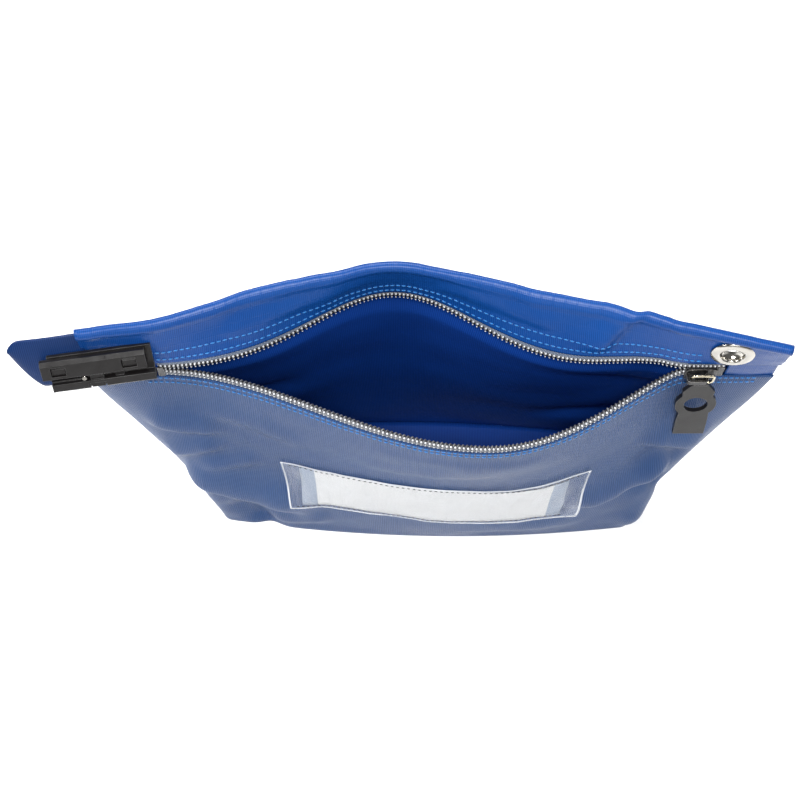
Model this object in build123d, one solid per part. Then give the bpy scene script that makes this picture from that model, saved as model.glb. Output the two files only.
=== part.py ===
"""Cash deposit bag: a zipped, flat-based bag of coated nylon with a tamper-evident seal chamber.

Frame: +X to the right, +Y to the back, +Z up. The origin is the centre of the base's underside.
All sizes are in millimetres. Every piece is a closed solid in a node of its own.
"""
import math
import os

from build123d import *

# ---- body of the bag -------------------------------------------------------------------------
BASE_WIDTH = 234.0          # width of the boxed base, corner to corner
BASE_DEPTH = 68.0           # depth of the boxed base at its middle
BASE_BOW = 8.0              # how far the base edge curves out between its corners
BASE_CORNER = 5.0           # radius of the base corners
RIM_WIDTH = 332.0           # width between the side seams, level with the zip
ZIP_HEIGHT = 170.0          # height of the zip line above the base
HEADER_HEIGHT = 33.0        # height of the header above the zip line
CLOTH = 0.8                 # thickness of the coated nylon
HEM_HEIGHT = 4.0            # height of the rolled hem along the header's top
HEM_BULGE = 1.2             # how far the hem stands proud of the header's front layer
HEM_BACK = 3.0              # how far it reaches back over the back panel
BASE_CLOTH = 1.0            # thickness of the base panel
SIDE_SHARE = 0.24           # share of a panel's half width that turns round the base corner
CORNER_SHARE = 0.08         # share of a panel's half width that lies in the corner itself
BASE_TWIST = 0.02           # slope of the base's long edges: its left end stands further back
SHOULDER = 12.0             # how far the walls swell out beside the side seams, half way up
SIDE_SWELL = 6.0            # how far the side seams stand out half way up

# ---- mouth -----------------------------------------------------------------------------------
FRONT_OPEN = 40.0           # how far the front rim stands forward of the zip's closed line
FRONT_PEAK = 27.0           # where along X the front rim stands furthest forward
FRONT_LEFT_REACH = 161.0    # from the peak to where the front rim closes on the left
FRONT_LEFT_POWER = 2.35     # fullness of the front rim's curve, left and right of its peak
FRONT_RIGHT_POWER = 1.45    # on the right the rim closes at the slider's mouth
BACK_OPEN = 38.0            # how far the back rim stands behind the zip's closed line
BACK_PEAK = -18.0
BACK_SPREAD = 56.0          # half width of the back rim's bell curve
HEADER_BACK = 39.0          # how far back the header's top edge stands at its peak
HEADER_SLOPE = 0.255        # how fast that edge comes forward to each side
HEADER_ROUND = 15.0         # rounding of the header's peak

# ---- stacking gaps ---------------------------------------------------------------------------
LAYER_GAP = 0.15            # between layers that are sewn together
RUN_GAP = 0.5               # between pieces that move past each other

# ---- zip -------------------------------------------------------------------------------------
ZIP_LEFT = -131.0           # left end of the zip, at the seal chamber
COIL_WIDTH = 4.0            # width of one half of the coil chain
COIL_THICK = 2.6            # thickness of the coil chain
COIL_PART = 1.0             # from the zip line to each open half of the chain
TAPE_THICK = 0.7
TAPE_WIDTH = 12.5           # width of each tape outside its coil
TAPE_SHOW = 2.3             # width of tape seen between coil and cloth
STOP_LENGTH = 3.0           # length of the metal stops at the zip's ends
STOP_WALL = 0.6

# ---- slider, link and pull tab ---------------------------------------------------------------
SLIDER_X = 129.0            # where the slider stands with the mouth open
SLIDER_LENGTH = 15.0
SLIDER_PLATE = 1.2          # thickness of the slider's two plates
SLIDER_RIM = 1.0            # how far the plates reach beyond the coils
BRIDGE_WIDTH = 3.4
BRIDGE_RISE = 4.6           # height of the bridge above the slider's face
BRIDGE_WALL = 1.2
BRIDGE_LEFT = -7.0          # ends of the bridge along the slider
BRIDGE_RIGHT = 3.5
LINK_WIRE = 1.5             # diameter of the wire link
LINK_LENGTH = 10.5          # between the centre lines of its short sides
LINK_WIDTH = 8.0            # between the centre lines of its long sides
LINK_CORNER = 2.2
LINK_PIVOT = -4.5           # where the link turns in the bridge, along the slider
PULL_THICK = 2.4
PULL_LENGTH = 41.5          # from the link's wire to the tab's end
PULL_WIDTH = 15.5
PULL_BULGE = 20.0           # width across the ring
PULL_HOLE = 11.7            # diameter of the hole in the pull tab
PULL_HOLE_DROP = 17.0       # from the link's wire to the hole's centre
PULL_EYE_RADIUS = 1.9
PULL_EYE_WIDTH = 6.0
PULL_NECK = 6.5             # length of the taper below the eye
PULL_LEAN = 15.0            # degrees that the tab leans out, where it rests on the front panel

# ---- eyelet ----------------------------------------------------------------------------------
EYELET_X = 141.0
EYELET_CLEAR = 1.7          # from the slider's plates up to the washer's edge
EYELET_HOLE = 11.2          # diameter of the hole through the eyelet
EYELET_WALL = 0.6
EYELET_FLANGE = 21.0        # diameter of the flange and washer
EYELET_THICK = 0.8
EYELET_SLACK = 0.8          # room for the header's twist under the flange

# ---- seal chamber, in its own plane: u along, v up the plane, w out of the plane ---------------
CHAMBER_X = -157.0          # centre of the chamber
CHAMBER_Y = -3.7
CHAMBER_RISE = 13.2         # its height above the zip line
CHAMBER_LEAN = 30.0         # degrees that the plane leans back
CHAMBER_ROLL = 0.5          # degrees that its left end hangs
CHAMBER_YAW = 8.3           # degrees that its left end stands forward
COVER_LENGTH = 49.0
COVER_HEIGHT = 9.4
COVER_THICK = 3.8
COVER_BEVEL = 1.6
COVER_SHIFT = -1.5          # the cover sits this far along from the centre
WINDOW_LENGTH = 7.0         # snap window in the cover
WINDOW_HEIGHT = 5.2
WINDOW_SPREAD = 16.5        # from the cover's middle to each window
TROUGH_LENGTH = 48.5
TROUGH_HEIGHT = 18.5        # back plate of the chamber
TROUGH_PLATE = 2.0
TROUGH_BAR = 4.8            # height of the lower bar
TROUGH_SHIFT = 1.7
SLOT_HEIGHT = 3.4           # gap between cover and lower bar
SLOT_RISE = 2.6             # height of the catch tower and wedge inside that gap
PEG_X = -7.0                # the seal peg's place along the chamber
PEG_RADIUS = 1.4
PEG_LENGTH = 3.4
TAB_LEFT = 44.0             # reach of the cloth tab to the left of the chamber's centre
TAB_RIGHT = -3.0            # its other end, sewn in at the header's left end
TAB_UP = 15.0
TAB_DOWN = 8.5
TAB_CORNER = 6.0
STUD_RADIUS = 1.8
STUD_PLACES = (-22.0, -9.0)  # the clamp plate's studs, along the chamber
STUD_DROP = -3.2            # and up its plane

# ---- name window -----------------------------------------------------------------------------
POCKET_LEFT = -77.0         # ends of the clear pocket along X
POCKET_RIGHT = 83.0
POCKET_LOW = 52.0           # heights of its lower and upper edge
POCKET_HIGH = 108.0
FILM_THICK = 0.4
FILM_HEM = 0.5              # film stands this far off the cloth, with the card behind it
CARD_THICK = 0.4
CARD_END = 8.0              # clear film beyond each end of the card
CARD_EDGE = 4.5             # clear film above and below the card

HEADER_TOP = ZIP_HEIGHT + HEADER_HEIGHT
WALL_SHARES = (0.0, 0.15, 0.3, 0.5, 0.68, 0.84)   # heights of the walls' sections, up to the tape
PANEL_STEPS = [number / 30 - 1 for number in range(61)]
ZIP_HALF = COIL_PART + COIL_WIDTH                 # from the zip line to a coil's outer edge
EDGE_DROP = ZIP_HALF + TAPE_SHOW                  # from the zip line to the edge of the cloth
TAPE_LOW = ZIP_HEIGHT - ZIP_HALF - LAYER_GAP - TAPE_WIDTH
TAPE_MIDDLE = (TAPE_LOW + ZIP_HEIGHT - EDGE_DROP) / 2
WALL_LEVELS = [BASE_CLOTH + share * (TAPE_LOW - BASE_CLOTH) for share in WALL_SHARES]
WALL_LEVELS += [TAPE_LOW, TAPE_MIDDLE]
SLIDER_HALF = COIL_THICK / 2 + 2 * RUN_GAP        # from the zip's plane to a slider plate
ZIP_RIGHT = SLIDER_X + SLIDER_LENGTH / 2 + RUN_GAP + STOP_LENGTH + 0.6
EYELET_RISE = ZIP_HALF + SLIDER_RIM + EYELET_CLEAR + EYELET_FLANGE / 2
FRONT_RIGHT_REACH = SLIDER_X - SLIDER_LENGTH / 2 + 1 - FRONT_PEAK


# ---- shape of the sewn body --------------------------------------------------------------------
def front_rim(x):
    """How far the front rim stands forward of the closed line, at x."""
    if x < FRONT_PEAK:
        share, power = (FRONT_PEAK - x) / FRONT_LEFT_REACH, FRONT_LEFT_POWER
    else:
        share, power = (x - FRONT_PEAK) / FRONT_RIGHT_REACH, FRONT_RIGHT_POWER
    return FRONT_OPEN * max(0.0, 1 - share * share) ** power


def back_rim(x):
    """How far the back rim stands behind the closed line, at x."""
    tail = math.exp(-(((ZIP_LEFT + STOP_LENGTH - BACK_PEAK) / BACK_SPREAD) ** 2))
    height = math.exp(-(((x - BACK_PEAK) / BACK_SPREAD) ** 2))
    return BACK_OPEN * max(0.0, height - tail) / (1 - tail)


def header_edge(x):
    """How far back the header's top edge stands, at x."""
    away = math.hypot(x - BACK_PEAK, HEADER_ROUND) - HEADER_ROUND
    return HEADER_BACK - HEADER_SLOPE * away


def base_point(share):
    """A point of the base's outline, as (x, depth), at a signed share of the panel's half width."""
    size = abs(share)
    half, depth = BASE_WIDTH / 2, BASE_DEPTH / 2 - BASE_BOW
    flat_end = 1 - SIDE_SHARE - CORNER_SHARE / 2
    side_start = flat_end + CORNER_SHARE
    if size <= flat_end:
        x = (half - BASE_CORNER) * size / flat_end
        y = depth
    elif size <= side_start:
        turn = math.pi / 2 * (size - flat_end) / CORNER_SHARE
        x = half - BASE_CORNER + BASE_CORNER * math.sin(turn)
        y = depth - BASE_CORNER + BASE_CORNER * math.cos(turn)
    else:
        x = half
        y = (depth - BASE_CORNER) * (1 - size) / (1 - side_start)
    bow = BASE_BOW * (1 - (x / half) ** 2)
    return math.copysign(x, share), y + bow


def wall_point(side, share, z):
    """A point of a wall's inner face: side is -1 for the front and +1 for the back."""
    rise = min(z / (ZIP_HEIGHT - EDGE_DROP), 1.0)
    base_x, base_y = base_point(share)
    rim_x = share * RIM_WIDTH / 2
    swell = 4 * rise * (1 - rise)
    x = (1 - rise) * base_x + rise * rim_x + math.copysign(swell * SIDE_SWELL, share) * share * share
    rim_y = front_rim(rim_x) if side < 0 else back_rim(rim_x)
    shoulder = SHOULDER * swell * share ** 4 * (1 - share ** 8)
    twist = side * BASE_TWIST * base_x * (1 - rise)
    y = (1 - rise) * base_y + rise * rim_y + shoulder - twist
    if side > 0 and z > ZIP_HEIGHT + ZIP_HALF:
        lean = (z - ZIP_HEIGHT - ZIP_HALF) / (HEADER_HEIGHT - ZIP_HALF)
        y = (1 - lean) * rim_y + lean * header_edge(rim_x)
    return x, side * (y + TAPE_THICK / 2 + LAYER_GAP)


def wall_at(side, x, z):
    """The inner face's y at a given x, found by halving."""
    low, high = -1.0, 1.0
    for _ in range(40):
        middle = (low + high) / 2
        if wall_point(side, middle, z)[0] < x:
            low = middle
        else:
            high = middle
    return wall_point(side, (low + high) / 2, z)[1]


def shifted(points, side, distance):
    """The same line of points, moved outwards from the bag by a distance."""
    moved = []
    for number, (x, y) in enumerate(points):
        x0, y0 = points[max(number - 1, 0)]
        x1, y1 = points[min(number + 1, len(points) - 1)]
        length = math.hypot(x1 - x0, y1 - y0)
        out_x, out_y = -side * (y1 - y0) / length, side * (x1 - x0) / length
        moved.append((x + out_x * distance, y + out_y * distance))
    return moved


def section(inner, outer, z):
    """A level face between two lines of points."""
    one = Spline(*[(x, y, z) for x, y in inner])
    other = Spline(*[(x, y, z) for x, y in outer])
    ends = [Line(one @ 0, other @ 0), Line(one @ 1, other @ 1)]
    return Face(Wire([one, ends[1], other, ends[0]]))


def skin(levels):
    """A solid through level faces, each given as (z, inner points, outer points)."""
    return loft([section(inner, outer, z) for z, inner, outer in levels], ruled=True)


def strip(side, x0, x1, z, near, far, count=49):
    """One level of a strip that follows a wall from x0 to x1, near to far off its inner face."""
    line = []
    for number in range(count):
        x = x0 + (x1 - x0) * number / (count - 1)
        line.append((x, wall_at(side, x, z)))
    return z, shifted(line, side, near), shifted(line, side, far)


# ---- cloth pieces ------------------------------------------------------------------------------
def front_panel():
    levels = []
    for z in WALL_LEVELS + [ZIP_HEIGHT - EDGE_DROP]:
        inner = [wall_point(-1, share, z) for share in PANEL_STEPS]
        levels.append((z, inner, shifted(inner, -1, CLOTH)))
    return skin(levels)


def back_panel():
    """The back wall and the outer layer of the header, with room for the slider behind the zip."""
    slider_room = SLIDER_HALF + SLIDER_PLATE + RUN_GAP - TAPE_THICK / 2 - LAYER_GAP
    levels = []
    room_top = ZIP_HEIGHT + ZIP_HALF + SLIDER_RIM + 0.2
    offsets = [(z, 0) for z in WALL_LEVELS]
    offsets += [(ZIP_HEIGHT - EDGE_DROP, slider_room), (room_top, slider_room)]
    offsets += [(room_top + 1, 0), (HEADER_TOP - HEM_HEIGHT - 0.5, 0)]
    for z, off in offsets:
        line = [wall_point(1, share, z) for share in PANEL_STEPS]
        inner = shifted(line, 1, off)
        levels.append((z, inner, shifted(line, 1, off + CLOTH)))
    return skin(levels) - eyelet_bore()


def header_strip():
    """The front layer of the header, turned over the back panel's top edge as a rolled hem."""
    left, right = -RIM_WIDTH / 2 + 2, RIM_WIDTH / 2
    low, hem = ZIP_HEIGHT + EDGE_DROP, HEADER_TOP - HEM_HEIGHT
    near = -(TAPE_THICK + 2 * LAYER_GAP)
    levels = []
    for number in range(5):
        rise = number / 4
        start, end = left + 22 * (1 - rise), right - 4 * (1 - rise)
        levels.append(strip(1, start, end, low + (hem - low) * rise, near - CLOTH, near))
    levels.append(strip(1, left, right, hem + 1.4, near - CLOTH - HEM_BULGE, near + HEM_BACK))
    levels.append(strip(1, left, right, HEADER_TOP - 1.2, near - CLOTH - HEM_BULGE, near + HEM_BACK))
    levels.append(strip(1, left, right, HEADER_TOP, near - CLOTH, near + HEM_BACK - HEM_BULGE))
    return skin(levels) - eyelet_bore()


def base_panel():
    front = shifted([wall_point(-1, share, 0) for share in PANEL_STEPS], -1, CLOTH)
    back = shifted([wall_point(1, share, 0) for share in PANEL_STEPS], 1, CLOTH)
    one = Spline(*[(x, y, 0) for x, y in front])
    other = Spline(*[(x, y, 0) for x, y in back])
    outline = Wire([one, Line(one @ 1, other @ 1), other, Line(one @ 0, other @ 0)])
    return extrude(Face(outline), BASE_CLOTH, dir=(0, 0, 1))


def zip_end_tab():
    """The doubled cloth that closes the mouth between the zip's right end and the side seam."""
    left, right = ZIP_RIGHT + 1, RIM_WIDTH / 2 - 4
    low, high = ZIP_HEIGHT - EDGE_DROP - 6, ZIP_HEIGHT + EDGE_DROP + 3
    levels = []
    for z in (low, ZIP_HEIGHT, ZIP_HEIGHT + ZIP_HALF, high):
        levels.append(strip(1, left, right, z, -LAYER_GAP - TAPE_THICK, -LAYER_GAP, 7))
    return skin(levels) - eyelet_bore()


# ---- zip ---------------------------------------------------------------------------------------
def zip_tape(side):
    """One tape: side -1 hangs below the zip line on the front, +1 stands above it at the back."""
    edge = ZIP_HEIGHT + side * (ZIP_HALF + LAYER_GAP)
    if side < 0:
        heights = (TAPE_LOW, TAPE_MIDDLE, ZIP_HEIGHT - EDGE_DROP, edge)
    else:
        heights = (edge, ZIP_HEIGHT + EDGE_DROP, edge + TAPE_WIDTH)
    levels = []
    for z in heights:
        levels.append(strip(side, ZIP_LEFT, ZIP_RIGHT, z, -LAYER_GAP - TAPE_THICK, -LAYER_GAP))
    return skin(levels) - eyelet_bore()


def zip_coil(side):
    """One half of the chain, as the band that its coil fills."""
    near = ZIP_HEIGHT + side * COIL_PART
    far = ZIP_HEIGHT + side * ZIP_HALF
    middle = -LAYER_GAP - TAPE_THICK / 2
    levels = []
    for z in sorted((near, far)):
        levels.append(strip(side, ZIP_LEFT, ZIP_RIGHT, z, middle - COIL_THICK / 2,
                            middle + COIL_THICK / 2))
    return skin(levels)


def zip_stop(x):
    """A metal clip across both coils at an end of the zip: two plates and the web between."""
    room = COIL_THICK / 2 + LAYER_GAP + max(front_rim(x), back_rim(x))
    height = 2 * ZIP_HALF
    clip = Box(STOP_LENGTH, 2 * room, 2 * COIL_PART - 2 * LAYER_GAP)
    for side in (-1, 1):
        plate = Box(STOP_LENGTH, STOP_WALL, height)
        plate = fillet(plate.edges().filter_by(Axis.Y), STOP_WALL)
        clip += Pos(0, side * (room + STOP_WALL / 2), 0) * plate
    return Pos(x, 0, ZIP_HEIGHT) * clip


# ---- slider, link and tab ------------------------------------------------------------------------
def slider_body():
    """Two plates joined by the post that parts the coils; the chain runs between them."""
    height = 2 * (ZIP_HALF + SLIDER_RIM)
    blank = Box(SLIDER_LENGTH, SLIDER_PLATE, height)
    blank = fillet(blank.edges().filter_by(Axis.Y), 3.0)
    front = Pos(0, -SLIDER_HALF - SLIDER_PLATE / 2, 0) * blank
    back = Pos(0, SLIDER_HALF + SLIDER_PLATE / 2, 0) * blank
    post = Box(4.5, 2 * SLIDER_HALF + SLIDER_PLATE, 2 * COIL_PART - 2 * RUN_GAP)
    post = Pos(-SLIDER_LENGTH / 2 + 3.4, 0, 0) * post
    return Pos(SLIDER_X, 0, ZIP_HEIGHT) * (front + back + post)


def slider_face():
    """How far the slider's front face stands in front of the zip's plane."""
    return SLIDER_HALF + SLIDER_PLATE


def slider_bridge():
    """The arch on the slider's face that holds the link."""
    length = BRIDGE_RIGHT - BRIDGE_LEFT
    middle = (BRIDGE_RIGHT + BRIDGE_LEFT) / 2
    outer = Box(length, BRIDGE_RISE, BRIDGE_WIDTH)
    outer = fillet(outer.edges().filter_by(Axis.Z).group_by(Axis.Y)[0], 2.0)
    inner = Pos(0, BRIDGE_WALL, 0) * Box(length - 2 * BRIDGE_WALL, BRIDGE_RISE, BRIDGE_WIDTH + 1)
    arch = outer - inner
    return Pos(SLIDER_X + middle, -slider_face() - BRIDGE_RISE / 2, ZIP_HEIGHT) * arch


def link_depth():
    """How far the link's wire stands in front of the zip's plane."""
    return slider_face() + BRIDGE_RISE - BRIDGE_WALL - LINK_WIRE / 2 - 0.35


def pull_link():
    """A closed rectangle of round wire, lying flat on the slider's face."""
    x0 = SLIDER_X + LINK_PIVOT
    centre = (x0 + LINK_LENGTH / 2, -link_depth(), ZIP_HEIGHT)
    plane = Plane(origin=centre, x_dir=(1, 0, 0), z_dir=(0, -1, 0))
    loop = plane * RectangleRounded(LINK_LENGTH, LINK_WIDTH, LINK_CORNER)
    path = loop.face().outer_wire()
    wire = Plane(origin=path @ 0, z_dir=path % 0) * Circle(LINK_WIRE / 2)
    return sweep(wire, path)


def pull_tab():
    """A moulded tab with an eye on the link, a ring with a round hole, and a square end."""
    wire_z = ZIP_HEIGHT - LINK_WIDTH / 2
    x = SLIDER_X + LINK_PIVOT + LINK_LENGTH / 2
    lean = math.radians(PULL_LEAN)
    facing = (0, -math.cos(lean), math.sin(lean))
    plane = Plane(origin=(x, -link_depth(), wire_z), x_dir=(1, 0, 0), z_dir=facing)
    half, eye = PULL_WIDTH / 2, PULL_EYE_WIDTH / 2
    waist = half - 0.9
    with BuildPart() as tab:
        with BuildSketch(plane):
            with BuildLine():
                Polyline((-eye, 0), (-half, -PULL_NECK), (-waist, -PULL_HOLE_DROP),
                         (-half, -PULL_HOLE_DROP - 12), (-half, -PULL_LENGTH), (half, -PULL_LENGTH),
                         (half, -PULL_HOLE_DROP - 12), (waist, -PULL_HOLE_DROP), (half, -PULL_NECK),
                         (eye, 0), close=True)
            make_face()
            with Locations((0, -PULL_HOLE_DROP)):
                Circle(PULL_BULGE / 2)
        extrude(amount=PULL_THICK / 2, both=True)
        with Locations(Location(plane.origin, (0, 90, 0))):
            Cylinder(PULL_EYE_RADIUS, PULL_EYE_WIDTH)
            Cylinder(LINK_WIRE / 2 + 0.15, PULL_EYE_WIDTH + 2, mode=Mode.SUBTRACT)
        with BuildSketch(plane):
            with Locations((0, -PULL_HOLE_DROP)):
                Circle(PULL_HOLE / 2)
        extrude(amount=PULL_THICK, both=True, mode=Mode.SUBTRACT)
    return tab.part


# ---- eyelet --------------------------------------------------------------------------------------
def eyelet_plane():
    """The plane of the header at the eyelet, facing the front, midway through the header's layers."""
    z = ZIP_HEIGHT + EYELET_RISE
    step = EYELET_HOLE / 2
    slope_x = (wall_at(1, EYELET_X + step, z) - wall_at(1, EYELET_X - step, z)) / (2 * step)
    slope_z = (wall_at(1, EYELET_X, z + step) - wall_at(1, EYELET_X, z - step)) / (2 * step)
    y = wall_at(1, EYELET_X, z) - TAPE_THICK / 2 - LAYER_GAP
    return Plane(origin=(EYELET_X, y, z), x_dir=(1, slope_x, 0), z_dir=(slope_x, -1, slope_z))


def eyelet_half():
    """From the middle of the header's layers to the inner face of the flange and of the washer."""
    return TAPE_THICK / 2 + LAYER_GAP + CLOTH + EYELET_SLACK


def eyelet_bore():
    radius = EYELET_HOLE / 2 + EYELET_WALL + LAYER_GAP
    return eyelet_plane() * Cylinder(radius, 40)


def eyelet_barrel():
    """The flange on the header's front with the tube that passes through the layers."""
    half = eyelet_half()
    tube = Cylinder(EYELET_HOLE / 2 + EYELET_WALL, 2 * half + 2 * EYELET_THICK)
    flange = Cylinder(EYELET_FLANGE / 2, EYELET_THICK)
    rim = flange.edges().filter_by(GeomType.CIRCLE).group_by(Axis.Z)[-1]
    flange = Pos(0, 0, half + EYELET_THICK / 2) * fillet(rim, EYELET_THICK * 0.6)
    bore = Cylinder(EYELET_HOLE / 2, 4 * half + 4 * EYELET_THICK)
    return eyelet_plane() * (tube + flange - bore)


def eyelet_washer():
    """The ring that the barrel is rolled over, on the header's back."""
    ring = Cylinder(EYELET_FLANGE / 2, EYELET_THICK)
    ring -= Cylinder(EYELET_HOLE / 2 + EYELET_WALL, 2 * EYELET_THICK)
    return eyelet_plane() * Pos(0, 0, -eyelet_half() - EYELET_THICK / 2) * ring


# ---- seal chamber --------------------------------------------------------------------------------
def chamber_place():
    """From the chamber's own plane (u = X, v = Z, w = -Y) to where it sits on the bag."""
    place = Pos(CHAMBER_X, CHAMBER_Y, ZIP_HEIGHT + CHAMBER_RISE)
    place *= Rot(0, 0, CHAMBER_YAW) * Rot(0, -CHAMBER_ROLL, 0) * Rot(-CHAMBER_LEAN, 0, 0)
    return place


def block(u0, u1, v0, v1, w0, w1):
    """A box in the chamber's plane, given by its limits."""
    size = Box(u1 - u0, w1 - w0, v1 - v0)
    return Pos((u0 + u1) / 2, -(w0 + w1) / 2, (v0 + v1) / 2) * size


def trough_limits():
    low = TROUGH_SHIFT - TROUGH_LENGTH / 2
    return low, low + TROUGH_LENGTH, -TROUGH_HEIGHT / 2, TROUGH_HEIGHT / 2


def seal_chamber_base():
    """Back plate with the lower bar, end ribs and the catch tower of the chamber."""
    left, right, low, high = trough_limits()
    plate = block(left, right, low, high, 0, TROUGH_PLATE)
    bar = block(left, right, low, low + TROUGH_BAR, TROUGH_PLATE, TROUGH_PLATE + COVER_THICK)
    bar = chamfer(bar.edges().filter_by(Axis.X).group_by(Axis.Z)[0].sort_by(Axis.Y)[0], 0.9)
    notch = block(-5.0, 2.8, low - 1, low + 3.2, TROUGH_PLATE + 1.6, TROUGH_PLATE + COVER_THICK + 1)
    slot = low + TROUGH_BAR
    tower = block(-4.2, 2.0, low + 0.4, slot + SLOT_RISE, TROUGH_PLATE, TROUGH_PLATE + 3.0)
    ledge = block(left, -9.0, slot, slot + 0.6, TROUGH_PLATE, TROUGH_PLATE + 1.6)
    wedge = block(7.5, 11.5, slot, slot + SLOT_RISE, TROUGH_PLATE, TROUGH_PLATE + 2.2)
    body = plate + (bar - notch) + tower + ledge + wedge
    hole = STUD_RADIUS + LAYER_GAP
    for u in STUD_PLACES:
        body -= block(u - hole, u + hole, STUD_DROP - hole, STUD_DROP + hole, -1, TROUGH_PLATE + 0.5)
    return chamber_place() * body


def cover_limits():
    left = COVER_SHIFT - COVER_LENGTH / 2
    low = trough_limits()[2] + TROUGH_BAR + SLOT_HEIGHT
    return left, left + COVER_LENGTH, low, low + COVER_HEIGHT


def seal_chamber_cover():
    """Upper bar of the chamber, bevelled along its top, with two snap windows."""
    left, right, low, high = cover_limits()
    near = TROUGH_PLATE + LAYER_GAP
    bar = block(left, right, low, high, near, near + COVER_THICK)
    top_edge = bar.edges().filter_by(Axis.X).group_by(Axis.Z)[-1].sort_by(Axis.Y)[0]
    bar = chamfer(top_edge, COVER_BEVEL)
    for u in (-WINDOW_SPREAD, WINDOW_SPREAD):
        middle = COVER_SHIFT + u
        window = block(middle - WINDOW_LENGTH / 2, middle + WINDOW_LENGTH / 2, low + 1.4,
                       low + 1.4 + WINDOW_HEIGHT, near - 1, near + COVER_THICK + 1)
        bar -= window
    return chamber_place() * bar


def snap_hooks():
    """The two catches that snap into the cover's windows."""
    low = cover_limits()[2]
    near = TROUGH_PLATE + LAYER_GAP
    hooks = []
    for u in (-WINDOW_SPREAD, WINDOW_SPREAD):
        middle = COVER_SHIFT + u
        hook = block(middle - WINDOW_LENGTH / 2 + 0.4, middle + WINDOW_LENGTH / 2 - 0.4, low + 1.8,
                     low + 1.0 + WINDOW_HEIGHT, near, near + COVER_THICK - 0.8)
        hook = chamfer(hook.edges().filter_by(Axis.X).group_by(Axis.Z)[-1].sort_by(Axis.Y)[0], 1.2)
        hooks.append(chamber_place() * hook)
    return Compound(hooks)


def seal_peg():
    """The tapered peg in the slot, over which a numbered seal locks."""
    slot = trough_limits()[2] + TROUGH_BAR
    peg = Cone(PEG_RADIUS, PEG_RADIUS - 0.3, PEG_LENGTH)
    place = Pos(PEG_X, -(TROUGH_PLATE + LAYER_GAP + PEG_LENGTH / 2), slot + PEG_RADIUS + LAYER_GAP)
    place *= Rot(90, 0, 0)
    return chamber_place() * place * peg


def chamber_back_plate():
    """Clamp plate behind the cloth tab, with the two studs that pass through the tab."""
    back = -CLOTH - 2 * LAYER_GAP
    plate = block(STUD_PLACES[0] - 5, STUD_PLACES[1] + 4.5, STUD_DROP - 5, STUD_DROP + 9, back - 1.6, back)
    plate = fillet(plate.edges().filter_by(Axis.Y), 1.5)
    for u in STUD_PLACES:
        stud = Cylinder(STUD_RADIUS, TROUGH_PLATE - back)
        plate += Pos(u, -(TROUGH_PLATE + back) / 2, STUD_DROP) * Rot(90, 0, 0) * stud
    return chamber_place() * plate


def chamber_tab():
    """Cloth tab behind the chamber, with a rounded free end on the left."""
    with BuildPart() as tab:
        with BuildSketch(Plane.XZ):
            with BuildLine():
                FilletPolyline((TAB_RIGHT, -TAB_DOWN), (-TAB_LEFT + 4, -TAB_DOWN), (-TAB_LEFT, TAB_UP - 2),
                               (TAB_RIGHT, TAB_UP), close=True, radius=TAB_CORNER)
            make_face()
            with Locations(*[(u, STUD_DROP) for u in STUD_PLACES]):
                Circle(STUD_RADIUS + LAYER_GAP, mode=Mode.SUBTRACT)
        extrude(amount=CLOTH)
    return chamber_place() * Pos(0, LAYER_GAP + CLOTH, 0) * tab.part


# ---- name window ---------------------------------------------------------------------------------
def pocket_sheet(x0, x1, z0, z1, near, thick):
    """A thin sheet that follows the front panel between two heights."""
    levels = []
    for number in range(3):
        z = z0 + (z1 - z0) * number / 2
        levels.append(strip(-1, x0, x1, z, near, near + thick, 13))
    return skin(levels)


def window_film():
    near = CLOTH + LAYER_GAP + CARD_THICK + 2 * LAYER_GAP + FILM_HEM
    return pocket_sheet(POCKET_LEFT, POCKET_RIGHT, POCKET_LOW, POCKET_HIGH, near, FILM_THICK)


def name_card():
    near = CLOTH + 2 * LAYER_GAP + 0.1
    return pocket_sheet(POCKET_LEFT + CARD_END, POCKET_RIGHT - CARD_END, POCKET_LOW + CARD_EDGE,
                        POCKET_HIGH - CARD_EDGE, near, CARD_THICK)


def build_nodes():
    right_stop = SLIDER_X + SLIDER_LENGTH / 2 + RUN_GAP + STOP_LENGTH / 2
    return {
        "front_panel": front_panel(),
        "back_panel": back_panel(),
        "base_panel": base_panel(),
        "header_strip": header_strip(),
        "zip_end_tab": zip_end_tab(),
        "zip_tape_front": zip_tape(-1),
        "zip_tape_back": zip_tape(1),
        "zip_coil_front": zip_coil(-1),
        "zip_coil_back": zip_coil(1),
        "zip_stop_right": zip_stop(right_stop),
        "zip_stop_left": zip_stop(ZIP_LEFT + STOP_LENGTH / 2),
        "slider_body": slider_body(),
        "slider_bridge": slider_bridge(),
        "pull_link": pull_link(),
        "pull_tab": pull_tab(),
        "eyelet_barrel": eyelet_barrel(),
        "eyelet_washer": eyelet_washer(),
        "seal_chamber_base": seal_chamber_base(),
        "seal_chamber_cover": seal_chamber_cover(),
        "snap_hooks": snap_hooks(),
        "seal_peg": seal_peg(),
        "chamber_back_plate": chamber_back_plate(),
        "chamber_tab": chamber_tab(),
        "window_film": window_film(),
        "name_card": name_card(),
    }


if __name__ == "__main__":
    os.makedirs("parts", exist_ok=True)
    for name, shape in build_nodes().items():
        export_step(shape, f"parts/{name}.step")
        print(name, round(shape.volume, 1))
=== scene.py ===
# %% [markdown]
# # A zipped cash deposit bag
# A shop takes its money to the bank in a bag like this one. It is sewn from coated nylon, stands on
# a flat base, and closes with a heavy coil zip whose slider is locked in a plastic seal chamber.
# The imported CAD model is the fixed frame: it says where every piece is. This script dresses it.
# Soft pieces are made anew as bent sheets, because cloth is never as even as a solid.

# %% Load the frame
import math

import bmesh
import bpy
from mathutils import Matrix, Vector, noise


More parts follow.
